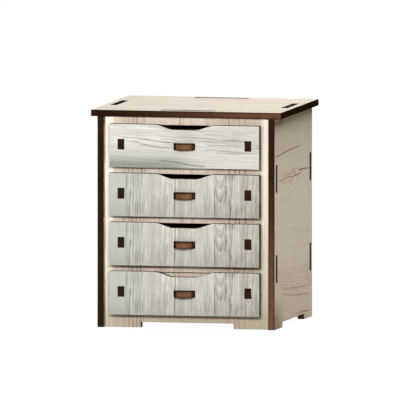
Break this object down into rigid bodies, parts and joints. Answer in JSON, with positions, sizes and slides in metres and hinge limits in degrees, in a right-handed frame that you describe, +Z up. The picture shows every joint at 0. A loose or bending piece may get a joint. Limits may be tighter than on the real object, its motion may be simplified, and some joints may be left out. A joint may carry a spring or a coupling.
{
  "type": "drawer cabinet",
  "caption": "Small tabletop cabinet slotted together from thin board: stacked drawers with half-disc pulls and finger notches, a flat top and low cut-out feet.",
  "frame": {"origin": "on the table, under the middle of the closed cabinet's outer box (pulls and top board included)", "axes": "+Z up, -Y the way the drawers open, +X to the right when the drawers are faced"},
  "size_m": [0.09, 0.0894, 0.101],
  "materials": {
    "carcass_board": "matt board printed with whitewashed cream wood grain, burnt brown cut edges",
    "drawer_board": "matt board printed with pale grey weathered wood grain, burnt brown cut edges",
    "plain_board": "bare brown hardboard, burnt brown cut edges",
    "pull_board": "bare brown hardboard, charred cut edge"
  },
  "bodies": {
    "carcass": {"left_side_panel": "carcass_board", "right_side_panel": "carcass_board", "front_frame": "carcass_board", "back_panel": "carcass_board", "top_panel": "carcass_board", "bottom_panel": "plain_board", "left_guide_wall": "plain_board", "right_guide_wall": "plain_board", "shelf_1": "plain_board", "shelf_2": "plain_board", "shelf_3": "plain_board"},
    "drawer_1": {"drawer_1_front": "drawer_board", "drawer_1_left_side": "plain_board", "drawer_1_right_side": "plain_board", "drawer_1_floor": "plain_board", "drawer_1_back": "plain_board", "drawer_1_pull": "pull_board"},
    "drawer_2": {"drawer_2_front": "drawer_board", "drawer_2_left_side": "plain_board", "drawer_2_right_side": "plain_board", "drawer_2_floor": "plain_board", "drawer_2_back": "plain_board", "drawer_2_pull": "pull_board"},
    "drawer_3": {"drawer_3_front": "drawer_board", "drawer_3_left_side": "plain_board", "drawer_3_right_side": "plain_board", "drawer_3_floor": "plain_board", "drawer_3_back": "plain_board", "drawer_3_pull": "pull_board"},
    "drawer_4": {"drawer_4_front": "drawer_board", "drawer_4_left_side": "plain_board", "drawer_4_right_side": "plain_board", "drawer_4_floor": "plain_board", "drawer_4_back": "plain_board", "drawer_4_pull": "pull_board", "drawer_4_inner_front": "carcass_board"}
  },
  "joints": [
    {"name": "drawer_1_slide", "type": "slide", "parent": "carcass", "child": "drawer_1", "axis": [0, -1, 0], "range_m": [0, 0.055]},
    {"name": "drawer_2_slide", "type": "slide", "parent": "carcass", "child": "drawer_2", "axis": [0, -1, 0], "range_m": [0, 0.055]},
    {"name": "drawer_3_slide", "type": "slide", "parent": "carcass", "child": "drawer_3", "axis": [0, -1, 0], "range_m": [0, 0.055]},
    {"name": "drawer_4_slide", "type": "slide", "parent": "carcass", "child": "drawer_4", "axis": [0, -1, 0], "range_m": [0, 0.055]}
  ]
}
